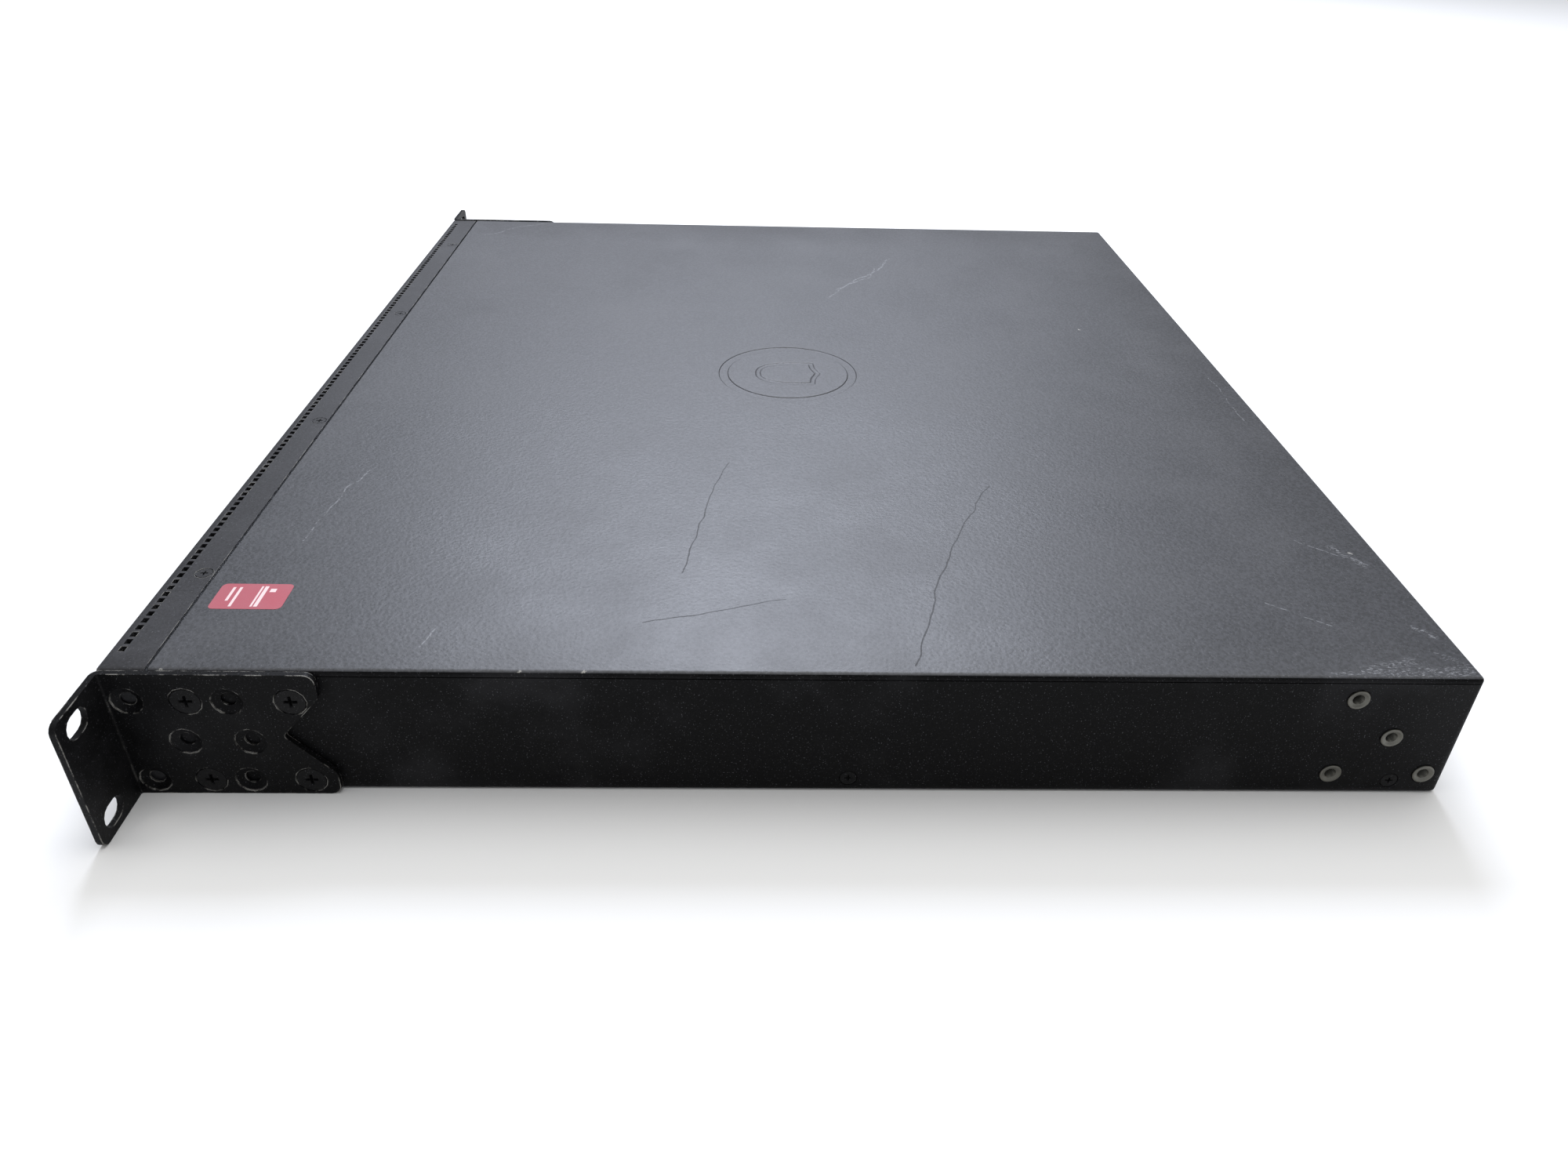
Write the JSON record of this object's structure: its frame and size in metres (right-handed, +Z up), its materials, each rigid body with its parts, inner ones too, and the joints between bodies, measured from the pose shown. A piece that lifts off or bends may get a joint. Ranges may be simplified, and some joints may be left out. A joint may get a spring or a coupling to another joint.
{
  "type": "firewall appliance",
  "caption": "Flat one-unit rack network firewall in a folded steel case, with rack ears, front ports, plug-in power supplies and plug-in fan modules.",
  "frame": {"origin": "middle of the chassis underside", "axes": "+X to the right-hand side seen from the front, -Y to the front, +Z up"},
  "size_m": [0.4826, 0.4, 0.0435],
  "materials": {
    "powder_coat": "charcoal wrinkle powder coat",
    "ear_coat": "black satin powder coat, worn to metal at its edges",
    "zinc_steel": "zinc-plated steel",
    "black_screw": "black oxide steel",
    "port_shell": "nickel-plated shell",
    "clear_plastic": "clear light guide",
    "aluminium": "extruded, unpainted",
    "circuit_board": "green solder mask",
    "latch_plastic": "blue moulded release tab",
    "battery_steel": "stainless cell can",
    "black_plastic": "black moulded plastic"
  },
  "bodies": {
    "chassis": {"chassis_base": "powder_coat", "clock_battery": "battery_steel", "console_ports": "port_shell", "ear_screw_left_1": "black_screw", "ear_screw_left_2": "black_screw", "ear_screw_left_3": "black_screw", "ear_screw_left_4": "black_screw", "ear_screw_right_1": "black_screw", "ear_screw_right_2": "black_screw", "ear_screw_right_3": "black_screw", "ear_screw_right_4": "black_screw", "front_panel": "powder_coat", "lan_ports": "port_shell", "main_board": "circuit_board", "memory_module": "circuit_board", "power_backplane": "circuit_board", "processor_heatsink": "aluminium", "rack_ear_left": "ear_coat", "rack_ear_right": "ear_coat", "seam_rail": "zinc_steel", "sfp_cages": "port_shell", "side_screw_left_1": "black_screw", "side_screw_left_2": "black_screw", "side_screw_right_1": "black_screw", "side_screw_right_2": "black_screw", "status_lights": "clear_plastic", "storage_module": "zinc_steel", "strip_screw_1": "black_screw", "strip_screw_2": "black_screw", "strip_screw_3": "black_screw", "strip_screw_4": "black_screw", "switch_heatsink": "aluminium", "top_cover": "powder_coat", "usb_ports": "port_shell"},
    "supply_1": {"power_supply_1_housing": "zinc_steel", "power_supply_1_inlet": "black_plastic", "power_supply_1_handle": "zinc_steel", "power_supply_1_board": "circuit_board"},
    "supply_1_latch": {"power_supply_1_latch": "latch_plastic"},
    "supply_1_rotor": {"power_supply_1_rotor": "black_plastic"},
    "supply_2": {"power_supply_2_housing": "zinc_steel", "power_supply_2_inlet": "black_plastic", "power_supply_2_handle": "zinc_steel", "power_supply_2_board": "circuit_board"},
    "supply_2_latch": {"power_supply_2_latch": "latch_plastic"},
    "supply_2_rotor": {"power_supply_2_rotor": "black_plastic"},
    "fan_1": {"fan_module_1_frame": "black_plastic"},
    "fan_1_rotor": {"fan_module_1_rotor": "black_plastic"},
    "fan_1_thumbscrew": {"fan_module_1_thumbscrew": "zinc_steel"},
    "fan_2": {"fan_module_2_frame": "black_plastic"},
    "fan_2_rotor": {"fan_module_2_rotor": "black_plastic"},
    "fan_2_thumbscrew": {"fan_module_2_thumbscrew": "zinc_steel"},
    "fan_3": {"fan_module_3_frame": "black_plastic"},
    "fan_3_rotor": {"fan_module_3_rotor": "black_plastic"},
    "fan_3_thumbscrew": {"fan_module_3_thumbscrew": "zinc_steel"},
    "reset_button": {"reset_button": "black_plastic"}
  },
  "joints": [
    {"name": "supply_1_slide", "type": "slide", "parent": "chassis", "child": "supply_1", "axis": [0, 1, 0], "range_m": [0, 0.16]},
    {"name": "supply_1_latch_press", "type": "slide", "parent": "supply_1", "child": "supply_1_latch", "axis": [0, 0, -1], "range_m": [0, 0.0015], "stiffness_N_per_m": 400, "springref_m": -0.0005},
    {"name": "supply_1_fan_spin", "type": "hinge", "parent": "supply_1", "child": "supply_1_rotor", "pos_m": [0.1898, 0.1902, 0.02075], "axis": [0, 1, 0], "continuous": true},
    {"name": "supply_2_slide", "type": "slide", "parent": "chassis", "child": "supply_2", "axis": [0, 1, 0], "range_m": [0, 0.16]},
    {"name": "supply_2_latch_press", "type": "slide", "parent": "supply_2", "child": "supply_2_latch", "axis": [0, 0, -1], "range_m": [0, 0.0015], "stiffness_N_per_m": 400, "springref_m": -0.0005},
    {"name": "supply_2_fan_spin", "type": "hinge", "parent": "supply_2", "child": "supply_2_rotor", "pos_m": [0.1128, 0.1902, 0.02075], "axis": [0, 1, 0], "continuous": true},
    {"name": "fan_1_slide", "type": "slide", "parent": "chassis", "child": "fan_1", "axis": [0, 1, 0], "range_m": [0, 0.06]},
    {"name": "fan_1_spin", "type": "hinge", "parent": "fan_1", "child": "fan_1_rotor", "pos_m": [0.0308, 0.1917, 0.02075], "axis": [0, 1, 0], "continuous": true},
    {"name": "fan_1_thumbscrew_turn", "type": "hinge", "parent": "fan_1", "child": "fan_1_thumbscrew", "pos_m": [0.00455, 0.194, 0.02075], "axis": [0, 1, 0], "continuous": true},
    {"name": "fan_2_slide", "type": "slide", "parent": "chassis", "child": "fan_2", "axis": [0, 1, 0], "range_m": [0, 0.06]},
    {"name": "fan_2_spin", "type": "hinge", "parent": "fan_2", "child": "fan_2_rotor", "pos_m": [-0.0217, 0.1917, 0.02075], "axis": [0, 1, 0], "continuous": true},
    {"name": "fan_2_thumbscrew_turn", "type": "hinge", "parent": "fan_2", "child": "fan_2_thumbscrew", "pos_m": [-0.04795, 0.194, 0.02075], "axis": [0, 1, 0], "continuous": true},
    {"name": "fan_3_slide", "type": "slide", "parent": "chassis", "child": "fan_3", "axis": [0, 1, 0], "range_m": [0, 0.06]},
    {"name": "fan_3_spin", "type": "hinge", "parent": "fan_3", "child": "fan_3_rotor", "pos_m": [-0.0742, 0.1917, 0.02075], "axis": [0, 1, 0], "continuous": true},
    {"name": "fan_3_thumbscrew_turn", "type": "hinge", "parent": "fan_3", "child": "fan_3_thumbscrew", "pos_m": [-0.10045, 0.194, 0.02075], "axis": [0, 1, 0], "continuous": true},
    {"name": "reset_press", "type": "slide", "parent": "chassis", "child": "reset_button", "axis": [0, 1, 0], "range_m": [0, 0.001], "stiffness_N_per_m": 300, "springref_m": -0.0005}
  ]
}
